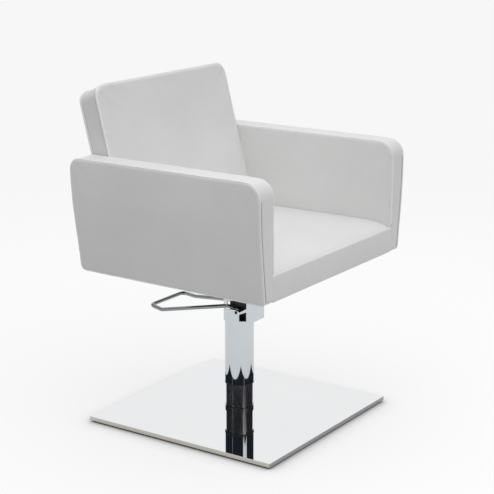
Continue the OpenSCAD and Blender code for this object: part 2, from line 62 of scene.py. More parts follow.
CAMERA_AZIMUTH = math.radians(-55.78)
CAMERA_ELEVATION = math.radians(14.67)
CAMERA_DISTANCE = 3.6365
CAMERA_TARGET = Vector((0.0108, -0.0158, 0.4344))
LENS_MM = 106.7
PAPER_WHITE = 0.93
SKY_RIM, SKY_TOP = 0.26, 1.12
FLOOR_MATT, FLOOR_GLOW, FLOOR_BOUNCE = 0.35, 0.655, 0.45
FLOOR_RADIUS, FADE_START, FADE_END = 5.0, 1.2, 3.2
# Reach and falloff of the painted contact shadow on the floor
PAINTED_SHADOW_REACH, PAINTED_SHADOW_POWER = 0.06, 1.8
LIGHT_AIM = Vector((0, 0, 0.4))
STUDIO_WHITE = (0.93, 0.935, 0.94, 1)
STUDIO_DARK = (0.017, 0.020, 0.028, 1)
SKY_WHITE = (0.995, 1.0, 1.0, 1)
# Angles round from the camera's side: the studio is dark up to the first, and white past the second
DARK_FULL, DARK_END = math.radians(144), math.radians(156)
# Sine of the elevation where each dark band starts, is full, starts to fade and ends
LOW_BAND = (0.01, 0.06, 0.22, 0.28)
HIGH_BAND = (0.47, 0.53, 0.70, 0.78)
MIRRORED_BAND = (0.01, 0.06, 0.42, 0.62)


def direction(azimuth, elevation):
    """Unit vector from the chair towards a viewer at that azimuth and elevation."""
    flat = math.cos(elevation)
    return Vector((math.sin(azimuth) * flat, -math.cos(azimuth) * flat, math.sin(elevation)))


def make_camera():
    data = bpy.data.cameras.new("camera")
    data.lens = LENS_MM
    data.sensor_width = 36
    data.clip_end = 100
    camera = bpy.data.objects.new("camera", data)
    bpy.context.scene.collection.objects.link(camera)
    back = direction(CAMERA_AZIMUTH, CAMERA_ELEVATION)
    camera.location = CAMERA_TARGET + back * CAMERA_DISTANCE
    camera.rotation_mode = "QUATERNION"
    camera.rotation_quaternion = (-back).to_track_quat("-Z", "Y")
    bpy.context.scene.camera = camera


class Nodes:
    """A short way to build a node tree."""

    def __init__(self, tree):
        self.tree = tree
        tree.nodes.clear()

    def add(self, kind, inputs=None, **props):
        node = self.tree.nodes.new(kind)
        for key, value in props.items():
            setattr(node, key, value)
        for key, value in (inputs or {}).items():
            if isinstance(value, bpy.types.NodeSocket):
                self.tree.links.new(value, node.inputs[key])
            else:
                node.inputs[key].default_value = value
        return node

    def math(self, operation, a, b=0.0, clamp=False):
        return self.add("ShaderNodeMath", {0: a, 1: b}, operation=operation, use_clamp=clamp).outputs[0]

    def ramp(self, value, low, high, to_low=0.0, to_high=1.0):
        inputs = {"Value": value, "From Min": low, "From Max": high, "To Min": to_low, "To Max": to_high}
        return self.add("ShaderNodeMapRange", inputs, interpolation_type="SMOOTHSTEP").outputs[0]


def height_band(n, height, band):
    start, full, fade, end = band
    return n.math("MULTIPLY", n.ramp(height, start, full), n.ramp(height, fade, end, 1.0, 0.0))


def make_world():
    """Plain white to the camera. Gloss sees a white studio with a darker camera side: two bands of it in a
    first reflection and one tall band in the next, as in the column that the plate mirrors. Matt surfaces see
    a soft sky."""
    world = bpy.data.worlds.new("studio")
    bpy.context.scene.world = world
    world.use_nodes = True
    n = Nodes(world.node_tree)
    towards = n.add("ShaderNodeTexCoord").outputs["Generated"]
    height = n.add("ShaderNodeSeparateXYZ", {0: towards}).outputs["Z"]
    camera_side = direction(CAMERA_AZIMUTH, 0.0)
    along = n.add("ShaderNodeVectorMath", {0: towards, 1: camera_side},
                  operation="DOT_PRODUCT").outputs["Value"]
    flat = n.math("SQRT", n.math("SUBTRACT", 1.0, n.math("MULTIPLY", height, height)))
    cosine = n.math("DIVIDE", along, n.math("MAXIMUM", flat, 0.05))
    round_mask = n.ramp(cosine, math.cos(DARK_END), math.cos(DARK_FULL))
    path = n.add("ShaderNodeLightPath")
    twice = n.math("GREATER_THAN", path.outputs["Glossy Depth"], 1.5)
    first = n.math("MAXIMUM", height_band(n, height, LOW_BAND), height_band(n, height, HIGH_BAND))
    second = height_band(n, height, MIRRORED_BAND)
    band = n.add("ShaderNodeMix", {0: twice, 2: first, 3: second}, data_type="FLOAT").outputs[0]
    dark = n.math("MULTIPLY", round_mask, band)
    colour = n.add("ShaderNodeMix", {0: dark, 6: STUDIO_WHITE, 7: STUDIO_DARK}, data_type="RGBA").outputs[2]
    sky = n.add("ShaderNodeMapRange", {"Value": height, "From Min": 0.0, "From Max": 1.0,
                                       "To Min": SKY_RIM, "To Max": SKY_TOP}).outputs[0]
    seen = n.add("ShaderNodeBackground", {"Color": (PAPER_WHITE,) * 3 + (1,), "Strength": 1.0})
    mirrored = n.add("ShaderNodeBackground", {"Color": colour, "Strength": 1.0})
    soft = n.add("ShaderNodeBackground", {"Color": SKY_WHITE, "Strength": sky})
    is_gloss, is_camera = path.outputs["Is Glossy Ray"], path.outputs["Is Camera Ray"]
    lit = n.add("ShaderNodeMixShader", {0: is_gloss, 1: soft.outputs[0], 2: mirrored.outputs[0]})
    mixed = n.add("ShaderNodeMixShader", {0: is_camera, 1: lit.outputs[0], 2: seen.outputs[0]})
    n.add("ShaderNodeOutputWorld", {"Surface": mixed.outputs[0]})


def area_light(name, azimuth, elevation, distance, size, power, gloss_only=False):
    """A rectangular lamp aimed at the seat. Angles are in degrees, as the camera's, and power in watts."""
    data = bpy.data.lights.new(name, "AREA")
    data.shape = "RECTANGLE"
    data.size, data.size_y = size
    data.energy = power
    lamp = bpy.data.objects.new(name, data)
    bpy.context.scene.collection.objects.link(lamp)
    out = direction(math.radians(azimuth), math.radians(elevation))
    lamp.location = LIGHT_AIM + out * distance
    lamp.rotation_mode = "QUATERNION"
    lamp.rotation_quaternion = (-out).to_track_quat("-Z", "Y")
    lamp.visible_diffuse = not gloss_only


def make_lights():
    area_light("overhead", azimuth=-40, elevation=72, distance=2.6, size=(2.2, 2.2), power=6.6)
    area_light("front_fill", azimuth=-12, elevation=32, distance=3.0, size=(1.6, 1.6), power=7.2)
    area_light("front_strip", azimuth=-18, elevation=17, distance=3.4, size=(0.055, 1.9), power=0.5,
               gloss_only=True)
    area_light("side_line", azimuth=-114, elevation=17, distance=3.4, size=(0.06, 1.6), power=0.25,
               gloss_only=True)


def make_floor():
    """Pale floor that fades into the backdrop at its rim and darkens only where something touches it: a
    painted contact shadow, its glow dimmed by an occlusion mask.
    """
    bpy.ops.mesh.primitive_circle_add(vertices=96, radius=FLOOR_RADIUS, fill_type="NGON", location=(0, 0, 0))
    floor = bpy.context.object
    floor.name = "floor"
    material = bpy.data.materials.new("floor_paper")
    material.use_nodes = True
    n = Nodes(material.node_tree)
    place = n.add("ShaderNodeTexCoord").outputs["Object"]
    away = n.add("ShaderNodeVectorMath", {0: place}, operation="LENGTH").outputs["Value"]
    # Occlusion near the chair dims the floor's glow: a painted contact shadow.
    open_to_sky = n.add("ShaderNodeAmbientOcclusion", {"Distance": PAINTED_SHADOW_REACH}, samples=8).outputs["AO"]
    painted_contact_shadow = n.math("POWER", open_to_sky, PAINTED_SHADOW_POWER)
    paper = n.add("ShaderNodeBsdfDiffuse", {"Color": (FLOOR_MATT,) * 3 + (1,)})
    glow_strength = n.math("MULTIPLY", painted_contact_shadow, FLOOR_GLOW)
    glow = n.add("ShaderNodeEmission", {"Color": (1, 1, 1, 1), "Strength": glow_strength})
    both = n.add("ShaderNodeAddShader", {0: paper.outputs[0], 1: glow.outputs[0]})
    path = n.add("ShaderNodeLightPath")
    shown = n.math("MAXIMUM", path.outputs["Is Camera Ray"], path.outputs["Is Glossy Ray"])
    bounce = n.add("ShaderNodeEmission", {"Color": (1, 1, 1, 1), "Strength": FLOOR_BOUNCE})
    surface = n.add("ShaderNodeMixShader", {0: shown, 1: bounce.outputs[0], 2: both.outputs[0]})
    clear = n.add("ShaderNodeBsdfTransparent")
    fade = n.ramp(away, FADE_START, FADE_END)
    mixed = n.add("ShaderNodeMixShader", {0: fade, 1: surface.outputs[0], 2: clear.outputs[0]})
    n.add("ShaderNodeOutputMaterial", {"Surface": mixed.outputs[0]})
    floor.data.materials.append(material)


# ---------------------------------------------------------------- materials
# A tone is a low and a high colour that a noise wanders between, and the roughness likewise.

def start_material(name):
    material = bpy.data.materials.new(name)
    material.use_nodes = True
    n = Nodes(material.node_tree)
    place = n.add("ShaderNodeTexCoord").outputs["Object"]
    shader = n.add("ShaderNodeBsdfPrincipled")
    n.add("ShaderNodeOutputMaterial", {"Surface": shader.outputs[0]})
    return material, n, place, shader


def noise_value(n, place, scale, detail=3.0, roughness=0.5, stretch=None):
    if stretch:
        place = n.add("ShaderNodeMapping", {"Vector": place, "Scale": stretch}).outputs[0]
    inputs = {"Vector": place, "Scale": scale, "Detail": detail, "Roughness": roughness}
    return n.add("ShaderNodeTexNoise", inputs).outputs[0]


def two_tone(n, factor, low, high):
    inputs = {0: factor, 6: (*low, 1), 7: (*high, 1)}
    return n.add("ShaderNodeMix", inputs, data_type="RGBA").outputs[2]


def set_bump(n, shader, height, strength, distance):
    bump = n.add("ShaderNodeBump", {"Height": height, "Strength": strength, "Distance": distance})
    n.tree.links.new(bump.outputs[0], shader.inputs["Normal"])


def link(n, value, shader, socket):
    n.tree.links.new(value, shader.inputs[socket])


def vinyl(name, pale, shade):
    """White upholstery vinyl: fine pebble grain, slow tone changes and a soft sheen."""
    material, n, place, shader = start_material(name)
    slow = noise_value(n, place, 5.0, 2.0)
    fine = noise_value(n, place, 60.0, 4.0)
    tone = n.math("ADD", n.math("MULTIPLY", slow, 0.7), n.math("MULTIPLY", fine, 0.3))
    link(n, two_tone(n, n.ramp(tone, 0.3, 0.7), shade, pale), shader, "Base Color")
    link(n, n.ramp(noise_value(n, place, 140.0, 3.0), 0.3, 0.7, 0.40, 0.52), shader, "Roughness")
    cells = n.add("ShaderNodeTexVoronoi", {"Vector": place, "Scale": 750.0},
                  feature="SMOOTH_F1").outputs["Distance"]
    pebbles = n.math("MULTIPLY", cells, 0.7)
    creases = n.math("MULTIPLY", noise_value(n, place, 320.0, 5.0, 0.6), 0.5)
    set_bump(n, shader, n.math("ADD", pebbles, creases), 0.16, 0.0006)
    shader.inputs["Specular IOR Level"].default_value = 0.42
    shader.inputs["Sheen Weight"].default_value = 0.06
    shader.inputs["Sheen Roughness"].default_value = 0.5
    return material


def metal(name, low, high, rough_low, rough_high, scale=18.0, stretch=None, bump=0.0):
    """Bare or plated metal: its tone and gloss wander a little, as handling leaves it."""
    material, n, place, shader = start_material(name)
    wander = noise_value(n, place, scale, 4.0, 0.6, stretch)
    link(n, two_tone(n, wander, low, high), shader, "Base Color")
    smear = n.ramp(noise_value(n, place, scale * 5, 5.0, 0.7, stretch), 0.35, 0.75, rough_low, rough_high)
    link(n, smear, shader, "Roughness")
    shader.inputs["Metallic"].default_value = 1.0
    if bump:
        set_bump(n, shader, noise_value(n, place, scale * 9, 3.0, 0.5, stretch), bump, 0.0003)
    return material


def edged_steel(name):
    """Mirror-polished top with brushed edges. The edges' greyer colour is painted reflection of a darker
    surround, and the faces along Y are painted darker than those along X, told apart by which way the surface
    faces.
    """
    material, n, place, shader = start_material(name)
    facing = n.add("ShaderNodeSeparateXYZ", {0: n.add("ShaderNodeNewGeometry").outputs["Normal"]})
    top = n.ramp(n.math("ABSOLUTE", facing.outputs["Z"]), 0.35, 0.8)
    brush = noise_value(n, place, 30.0, 6.0, 0.7, (3.0, 3.0, 60.0))
    # Edge colours are painted reflection of a darker surround, with the lighter beige grey on the faces along
    # X
    sides = two_tone(n, brush, (0.50, 0.48, 0.43), (0.62, 0.60, 0.54))
    ends = two_tone(n, brush, (0.30, 0.30, 0.31), (0.42, 0.42, 0.44))
    # Faces along Y take the darker painted reflection
    painted_darker_ends = n.ramp(n.math("ABSOLUTE", facing.outputs["Y"]), 0.4, 0.6)
    edge = n.add("ShaderNodeMix", {0: painted_darker_ends, 6: sides, 7: ends}, data_type="RGBA").outputs[2]
    bright = two_tone(n, noise_value(n, place, 9.0, 3.0), (0.86, 0.865, 0.87), (0.885, 0.885, 0.885))
    both = n.add("ShaderNodeMix", {0: top, 6: edge, 7: bright}, data_type="RGBA").outputs[2]
    link(n, both, shader, "Base Color")
    smear = n.ramp(noise_value(n, place, 55.0, 5.0, 0.7), 0.35, 0.8, 0.012, 0.035)
    link(n, n.math("ADD", smear, n.ramp(top, 0.0, 1.0, 0.22, 0.0)), shader, "Roughness")
    shader.inputs["Metallic"].default_value = 1.0
    return material


def dull(name, low, high, rough, scale, bump, metallic=0.0, stretch=None):
    """Paint, rubber, cloth or nylon: a mottled colour with a matt, slightly uneven skin."""
    material, n, place, shader = start_material(name)
    mottle = noise_value(n, place, scale, 4.0, 0.6, stretch)
    link(n, two_tone(n, mottle, low, high), shader, "Base Color")
    link(n, n.ramp(mottle, 0.3, 0.7, rough - 0.06, rough + 0.06), shader, "Roughness")
    set_bump(n, shader, noise_value(n, place, scale * 6, 4.0, 0.6, stretch), bump, 0.0005)
    shader.inputs["Metallic"].default_value = metallic
    return material


def plywood(name):
    """Sanded birch plywood: long grain, darker plies on the edges."""
    material, n, place, shader = start_material(name)
    grain = noise_value(n, place, 40.0, 6.0, 0.65, (0.6, 6.0, 6.0))
    plies = n.add("ShaderNodeTexWave", {"Vector": place, "Scale": 90.0, "Distortion": 0.6},
                  bands_direction="Z").outputs["Fac"]
    tone = n.math("ADD", n.math("MULTIPLY", grain, 0.75), n.math("MULTIPLY", plies, 0.25))
    link(n, two_tone(n, tone, (0.42, 0.28, 0.16), (0.72, 0.55, 0.36)), shader, "Base Color")
    link(n, n.ramp(grain, 0.3, 0.7, 0.55, 0.7), shader, "Roughness")
    set_bump(n, shader, grain, 0.2, 0.0004)
    return material


def make_materials():
    return {
        "white_vinyl": vinyl("white_vinyl", (0.83, 0.83, 0.825), (0.79, 0.79, 0.785)),
        # Piping vinyl is lighter than the covers: the lift in colour is a painted highlight along the welts
        "piping_vinyl_painted_highlight": vinyl("piping_vinyl_painted_highlight", (0.95, 0.95, 0.945), (0.92, 0.92, 0.915)),
        # Dark cords that paint the shadow in the seams: the pale one on the back and seat, the darker one on
        # the armrests' outer seam
        "pale_painted_seam_shadow": dull("pale_painted_seam_shadow", (0.62, 0.62, 0.615), (0.70, 0.70, 0.69), 0.8, 300.0, 0.5),
        "painted_seam_shadow": dull("painted_seam_shadow", (0.38, 0.38, 0.38), (0.46, 0.46, 0.455), 0.8, 300.0, 0.5),
        "dark_chrome": metal("dark_chrome", (0.27, 0.29, 0.31), (0.34, 0.36, 0.38), 0.04, 0.08),
        "chrome": metal("chrome", (0.54, 0.585, 0.61), (0.60, 0.64, 0.66), 0.03, 0.06),
        "satin_chrome": metal("satin_chrome", (0.48, 0.46, 0.43), (0.58, 0.555, 0.53), 0.13, 0.20, 22.0,
                              (1, 1, 0.15)),
        "mirror_steel": edged_steel("mirror_steel"),
        "zinc_steel": metal("zinc_steel", (0.58, 0.59, 0.60), (0.70, 0.70, 0.69), 0.28, 0.42, 60.0),
        "machined_steel": metal("machined_steel", (0.44, 0.45, 0.46), (0.56, 0.57, 0.58), 0.22, 0.36, 40.0,
                                (1, 1, 12), 0.1),
        "black_steel": dull("black_steel", (0.012, 0.012, 0.013), (0.03, 0.03, 0.032), 0.38, 80.0, 0.1, 0.6),
        "black_cast": dull("black_cast", (0.010, 0.011, 0.013), (0.022, 0.023, 0.026), 0.5, 120.0, 0.45),
        "rubber": dull("rubber", (0.014, 0.014, 0.015), (0.028, 0.028, 0.030), 0.78, 90.0, 0.25),
        "nylon": dull("nylon", (0.74, 0.72, 0.66), (0.80, 0.78, 0.72), 0.5, 30.0, 0.1),
        "bronze": metal("bronze", (0.56, 0.38, 0.17), (0.70, 0.50, 0.26), 0.22, 0.36, 50.0, (1, 1, 10), 0.1),
        "plywood": plywood("plywood"),
        "black_cloth": dull("black_cloth", (0.010, 0.010, 0.011), (0.030, 0.030, 0.032), 0.9, 400.0, 0.6),
    }


MATERIALS = {}
FINISH = {"lower_tube": "satin_chrome", "column_trim_ring": "satin_chrome", "lever_hub": "dark_chrome"}
BEVELS_MM = {"base_cover": 0.5, "head_housing": 0.7, "seat_mount_plate": 0.8, "pump_block": 0.6,
             "column_trim_ring": 0.5, "scraper_ring": 0.3, "base_gasket": 0.6, "lever_hub": 0.4}


def finish_cad_nodes():
    """Every carried-over CAD node gets its slot's material, and the sharp metal ones a small bevel."""
    slots = {s["node"]: s["material_slot"] for s in frame["record"]["subparts"]}
    for name, node in NODES.items():
        material = MATERIALS[FINISH.get(name, slots[name])]
        node.data.materials.clear()
        node.data.materials.append(material)
        if name in BEVELS_MM:
            bevel = node.modifiers.new("edge", "BEVEL")
            bevel.width = BEVELS_MM[name] * MM
            bevel.segments = 2
            bevel.limit_method = "ANGLE"
            bevel.angle_limit = math.radians(40)
            bevel.harden_normals = True


# ---------------------------------------------------------------- mesh helpers

def make_object(name, points, faces, slot):
    mesh = bpy.data.meshes.new(name)
    mesh.from_pydata([tuple(p) for p in points], [], faces)
    mesh.update()
    for polygon in mesh.polygons:
        polygon.use_smooth = True
    mesh.materials.append(MATERIALS[slot])
    piece = bpy.data.objects.new(name, mesh)
    bpy.context.scene.collection.objects.link(piece)
    return piece


def tube(points, radius, sides, closed):
    """Points and faces of a round tube along a path."""
    count = len(points)
    tangents = []
    for i in range(count):
        ahead = points[(i + 1) % count] if closed or i < count - 1 else points[i]
        behind = points[(i - 1) % count] if closed or i > 0 else points[i]
        tangents.append((ahead - behind).normalized())
    side = tangents[0].orthogonal().normalized()
    sides_at = []
    for t in tangents:
        side = (side - side.dot(t) * t).normalized()
        sides_at.append(side.copy())
    twist = 0.0
    if closed:
        last = (sides_at[-1] - sides_at[-1].dot(tangents[0]) * tangents[0]).normalized()
        twist = math.atan2(last.cross(sides_at[0]).dot(tangents[0]), last.dot(sides_at[0]))
    verts, faces = [], []
    for i in range(count):
        up = tangents[i].cross(sides_at[i])
        turn = twist * i / count
        for k in range(sides):
            angle = 2 * math.pi * k / sides + turn
            verts.append(points[i] + radius * (math.cos(angle) * sides_at[i] + math.sin(angle) * up))
    spans = count if closed else count - 1
    for i in range(spans):
        a, b = i * sides, ((i + 1) % count) * sides
        for k in range(sides):
            faces.append((a + k, a + (k + 1) % sides, b + (k + 1) % sides, b + k))
    if not closed:
        faces.append(tuple(range(sides))[::-1])
        faces.append(tuple((count - 1) * sides + k for k in range(sides)))
    return verts, faces


# ---------------------------------------------------------------- upholstery

LEAST_RADIUS = 0.6 * MM


class Outline:
    """Rounded rectangle sampled so that any inset of it has the same number of points, side by side."""

    def __init__(self, low, high, radii, step):
        self.low, self.high, self.radii = Vector(low), Vector(high), radii
        self.arcs = [max(2, math.ceil(r * math.pi / 4 / step * 1.4)) for r in radii]
        wide = math.ceil((self.high.x - self.low.x) / step)
        tall = math.ceil((self.high.y - self.low.y) / step)
        extra = [self.arcs[i] + self.arcs[(i + 1) % 4] for i in range(4)]
        self.across = wide + max(extra[0], extra[2])
        self.up = tall + max(extra[1], extra[3])

    def sides(self, inset):
        """The four sides of the inset outline, each from corner middle to corner middle, low side first."""
        low = self.low + Vector((inset, inset))
        high = self.high - Vector((inset, inset))
        corners = [(low.x, low.y, 1, 1), (high.x, low.y, -1, 1),
                   (high.x, high.y, -1, -1), (low.x, high.y, 1, -1)]
        radii = [max(r - inset, LEAST_RADIUS) for r in self.radii]
        centres = [Vector((x + sx * r, y + sy * r)) for (x, y, sx, sy), r in zip(corners, radii)]
        result = []
        for s in range(4):
            a, b = s, (s + 1) % 4
            total = self.across if s % 2 == 0 else self.up
            start = math.radians(225 + 90 * s)

            def arc(corner, first, steps):
                turns = [first + math.radians(45) * i / steps for i in range(steps + 1)]
                return [centres[corner] + radii[corner] * Vector((math.cos(t), math.sin(t))) for t in turns]

            out = arc(a, start, self.arcs[a])
            end = arc(b, start + math.radians(45), self.arcs[b])
            straight = total - self.arcs[a] - self.arcs[b]
            out += [out[-1].lerp(end[0], i / straight) for i in range(1, straight)]
            result.append(out + end)
        return result

    def loop(self, inset):
        """Closed ring of points, counter-clockwise from the low left corner."""
        return [p for side in self.sides(inset) for p in side[:-1]]

    def patch(self, inset):
        """Grid of points that fills the inset outline, as rows from low to high."""
        bottom, right, top, left = self.sides(inset)
        top, left = top[::-1], left[::-1]
        rows = []
        for j in range(self.up + 1):
            v = j / self.up
            row = []
            for i in range(self.across + 1):
                u = i / self.across
                edges = bottom[i] * (1 - v) + top[i] * v + left[j] * (1 - u) + right[j] * u
                low_ends = bottom[0] * (1 - u) + bottom[-1] * u
                high_ends = top[0] * (1 - u) + top[-1] * u
                row.append(edges - (low_ends * (1 - v) + high_ends * v))
            rows.append(row)
        return rows

    def ring_index(self):
        """Grid places of the patch's own edge, in the order of loop()."""
        across, up = self.across, self.up
        return ([(0, i) for i in range(across)] + [(j, across) for j in range(up)]
                + [(up, i) for i in range(across, 0, -1)] + [(j, 0) for j in range(up, 0, -1)])


def boxed_pad(outline, depth, roll, strip_steps, seam_at, place):
    """A pad with two panels and a strip between them. place maps (p, q, w) into the frame, w from 0 to depth.
    Returns points, faces and the point numbers of the two seam rings."""
    points, faces = [], []
    turns = [math.radians(t) for t in (30, 60, 90)]
    profile = [(roll * (1 - math.sin(t)), roll * (1 - math.cos(t))) for t in turns]
    levels = [(inset, w) for inset, w in profile]
    inner_depth = depth - 2 * roll
    levels += [(0.0, roll + inner_depth * k / strip_steps) for k in range(1, strip_steps)]
    levels += [(inset, depth - w) for inset, w in reversed(profile)]
    grids = []
    for w in (0.0, depth):
        grid = []
        for row in outline.patch(roll):
            grid.append([len(points) + k for k in range(len(row))])
            points += [place(p.x, p.y, w) for p in row]
        grids.append(grid)
    low_grid, high_grid = grids
    for j in range(outline.up):
        for i in range(outline.across):
            a, b = low_grid[j][i], low_grid[j][i + 1]
            c, d = low_grid[j + 1][i + 1], low_grid[j + 1][i]
            faces.append((a, d, c, b))
            a, b = high_grid[j][i], high_grid[j][i + 1]
            c, d = high_grid[j + 1][i + 1], high_grid[j + 1][i]
            faces.append((a, b, c, d))
    rings = [[low_grid[j][i] for j, i in outline.ring_index()]]
    for inset, w in levels:
        loop = outline.loop(inset)
        rings.append([len(points) + k for k in range(len(loop))])
        points += [place(p.x, p.y, w) for p in loop]
    rings.append([high_grid[j][i] for j, i in outline.ring_index()])
    for ring, following in zip(rings, rings[1:]):
        count = len(ring)
        for k in range(count):
            faces.append((ring[k], ring[(k + 1) % count], following[(k + 1) % count], following[k]))
    seams = [rings[seam_at], rings[-1 - seam_at]]
    return [Vector(p) for p in points], faces, seams


def run_along(ring, wanted):
    """The ring's wanted point numbers in order. They are one unbroken stretch of it."""
    flags = [wanted(i) for i in ring]
    start = next(k for k in range(len(ring)) if flags[k] and not flags[k - 1])
    return [ring[(start + k) % len(ring)] for k in range(sum(flags))]


CLOTH_STIFFNESS, CLOTH_PRESSURE, CLOTH_FRAMES = 20.0, 4.0, 20


def puff(piece, pinned, cap):
    """Cloth simulation with air inside and the seams held; the swelling is scaled down to at most cap."""
    group = piece.vertex_groups.new(name="held")
    group.add(sorted(pinned), 1.0, "REPLACE")
    rest = [v.co.copy() for v in piece.data.vertices]
    cloth = piece.modifiers.new("cloth", "CLOTH")
    settings = cloth.settings
    settings.quality = 6
    settings.mass = 0.3
    settings.tension_stiffness = CLOTH_STIFFNESS
    settings.compression_stiffness = CLOTH_STIFFNESS
    settings.shear_stiffness = CLOTH_STIFFNESS / 2
    settings.bending_stiffness = 1.5
    settings.vertex_group_mass = "held"
    settings.use_pressure = True
    settings.uniform_pressure_force = CLOTH_PRESSURE
    settings.effector_weights.gravity = 0.0
    cloth.collision_settings.use_collision = False
    cloth.point_cache.frame_start = 1
    cloth.point_cache.frame_end = CLOTH_FRAMES
    scene = bpy.context.scene
    for f in range(1, CLOTH_FRAMES + 1):
        scene.frame_set(f)
    graph = bpy.context.evaluated_depsgraph_get()
    swollen = piece.evaluated_get(graph).to_mesh()
    moves = [v.co - r for v, r in zip(swollen.vertices, rest)]
    piece.evaluated_get(graph).to_mesh_clear()
    piece.modifiers.remove(cloth)
    piece.vertex_groups.remove(group)
    most = max(m.length for m in moves)
    scale = min(1.0, cap / most) if most > 0 else 0.0
    for v, r, m in zip(piece.data.vertices, rest, moves):
        v.co = r + m * scale
    scene.frame_set(1)


PUCKER_REACH, GROOVE_REACH = 16 * MM, 4.5 * MM
PUCKER_SCALE, WAVE_SCALE, WAVE_SHARE = 38.0, 11.0, 0.6


def relax(piece, seams, groove, ripple):
    """Sinks the seams a little and adds the small puckers that stitching leaves beside them."""
    mesh = piece.data
    mesh.update()
    normals = [v.normal.copy() for v in mesh.vertices]
    stitched = [i for ring in seams for i in ring]
    tree = KDTree(len(stitched))
    for i in stitched:
        tree.insert(mesh.vertices[i].co, i)
    tree.balance()
    moved = []
    for v in mesh.vertices:
        distance = tree.find(v.co)[2]
        near = math.exp(-distance / PUCKER_REACH)
        wave = WAVE_SHARE * noise.noise(v.co * WAVE_SCALE)
        pucker = noise.noise(v.co * PUCKER_SCALE) * near + wave * (1 - near)
        sink = groove * math.exp(-(distance / GROOVE_REACH) ** 2)
        moved.append(v.co + normals[v.index] * (ripple * pucker - sink))
    for v, co in zip(mesh.vertices, moved):
        v.co = co


def add_subdivision(piece):
    modifier = piece.modifiers.new("smooth", "SUBSURF")
    modifier.levels = 1
    modifier.render_levels = 1


SMOOTHING_ROUNDS = 2


def smoothed(path, closed):
    """The path with its small wobbles evened out."""
    for _ in range(SMOOTHING_ROUNDS):
        ends = (path[0], path[-1])
        count = len(path)
        path = [(path[i - 1] + path[i] * 2 + path[(i + 1) % count]) / 4 for i in range(count)]
        if not closed:
            path[0], path[-1] = ends
    return path


def cord(name, piece, ring, closed, radius, lift, slot_name, offset=None):
    """A cord along numbered points of a cover: a welt, or with an offset, a dark cord laid beside the seam as
    painted seam shadow.
    """
    mesh = piece.data
    mesh.update()
    path = [mesh.vertices[i].co + mesh.vertices[i].normal * lift for i in ring]
    if offset is not None:
        surface = BVHTree.FromPolygons([v.co for v in mesh.vertices], [f.vertices for f in mesh.polygons])
        nearest = [surface.find_nearest(mesh.vertices[i].co + offset) for i in ring]
        path = [spot + normal * lift for spot, normal, _, _ in nearest]
    verts, faces = tube(smoothed(path, closed), radius, 10, closed)
    return make_object(name, verts, faces, slot_name)


def on_seat(piece, *replaced):
    """The piece rides on the seat body. Any nodes named are the CAD pads it stands for, and are hidden."""
    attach(piece, SEAT_BODY)
    if replaced:
        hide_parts(*replaced)


STEP = 7.5 * MM                                 # mesh spacing of the covers
ARM_CORNERS = [8 * MM, 12 * MM, 28 * MM, 40 * MM]
ARM_ROLL = 4 * MM                               # radius of the rolled edge between panel and strip
ARM_TAPER_TOP, ARM_TAPER = 0.600, 21 * MM       # the outer face leans in below this height, by this much
ARM_SWEEP_TOP, ARM_SWEEP_HEIGHT, ARM_SWEEP = 0.670, 0.220, 11 * MM   # the rear edge leans forward
ARM_RISE, ARM_RISE_FADE = 4 * MM, 60 * MM       # how much higher the underside is at the rear
SEAM_SHADOW_TOP = 0.650                           # below this a dark cord paints the shadow along the outer arm seam


def shape_arm(p, sign, low, high):
    """Moves a point of the armrest's box to the tapered, swept shape."""
    outward = (abs(p.x) - low.x) / (high.x - low.x)
    rearward = (p.y - low.y) / (high.y - low.y)
    drop = max(0.0, (ARM_TAPER_TOP - p.z) / (ARM_TAPER_TOP - low.z))
    sweep = min(1.0, max(0.0, (ARM_SWEEP_TOP - p.z) / ARM_SWEEP_HEIGHT))
    p.x -= sign * outward * ARM_TAPER * drop ** 1.25
    p.y -= ARM_SWEEP * sweep * rearward ** 3
    p.z += ARM_RISE * rearward * math.exp((low.z - p.z) / ARM_RISE_FADE)


def make_arm(side_name, sign):
    """An armrest: outer and inner panels, a strip round the edge, piped seams."""
    low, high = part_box("arm_pad_left")

    def place(p, q, w):
        return (sign * (low.x + w), p, q)

    outline = Outline((low.y, low.z), (high.y, high.z), ARM_CORNERS, STEP)
    points, faces, seams = boxed_pad(outline, high.x - low.x, ARM_ROLL, strip_steps=7, seam_at=3, place=place)
    for p in points:
        shape_arm(p, sign, low, high)
    if sign < 0:
        faces = [f[::-1] for f in faces]
    pad = make_object("arm_cover_" + side_name, points, faces, "white_vinyl")
    inner, outer = seams
    puff(pad, set(inner) | set(outer), cap=4.0 * MM)
    relax(pad, seams, groove=1.2 * MM, ripple=0.45 * MM)

    seat_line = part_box("front_panel")[1].z + 2 * MM
    behind_panel, front_edge, foot = low.y + 12 * MM, low.y + 20 * MM, low.z + 6 * MM
    shown = run_along(inner, lambda i: points[i].y >= behind_panel or points[i].z >= seat_line)
    shadow_run = run_along(outer, lambda i: points[i].y < front_edge and foot < points[i].z < SEAM_SHADOW_TOP)
    inward = Vector((-sign * 5.2 * MM, 0, 0))
    cords = [
        cord("arm_outer_welt_" + side_name, pad, outer, True, 2.0 * MM, 0.2 * MM, "piping_vinyl_painted_highlight"),
        # Dark cord beside the lower front of the outer seam: painted seam shadow
        cord("arm_outer_painted_seam_shadow_" + side_name, pad, shadow_run, False, 1.1 * MM, -0.3 * MM, "painted_seam_shadow", inward),
        cord("arm_inner_welt_" + side_name, pad, shown, False, 2.0 * MM, 0.2 * MM, "piping_vinyl_painted_highlight"),
    ]
    add_subdivision(pad)
    on_seat(pad, "arm_pad_" + side_name)
    for piece in cords:
        on_seat(piece)


BACK_LEAN = math.radians(14.8)
BACK_FOOT = Vector((0, 0.1176, 0.430))          # the front face's line starts here, above the seat board
BACK_THICK = 64 * MM
BACK_CORNERS = [8 * MM, 8 * MM, 30 * MM, 30 * MM]
BACK_DROP, BACK_DROP_FADE = 10 * MM, 35 * MM    # how much lower the top edge is at the rear


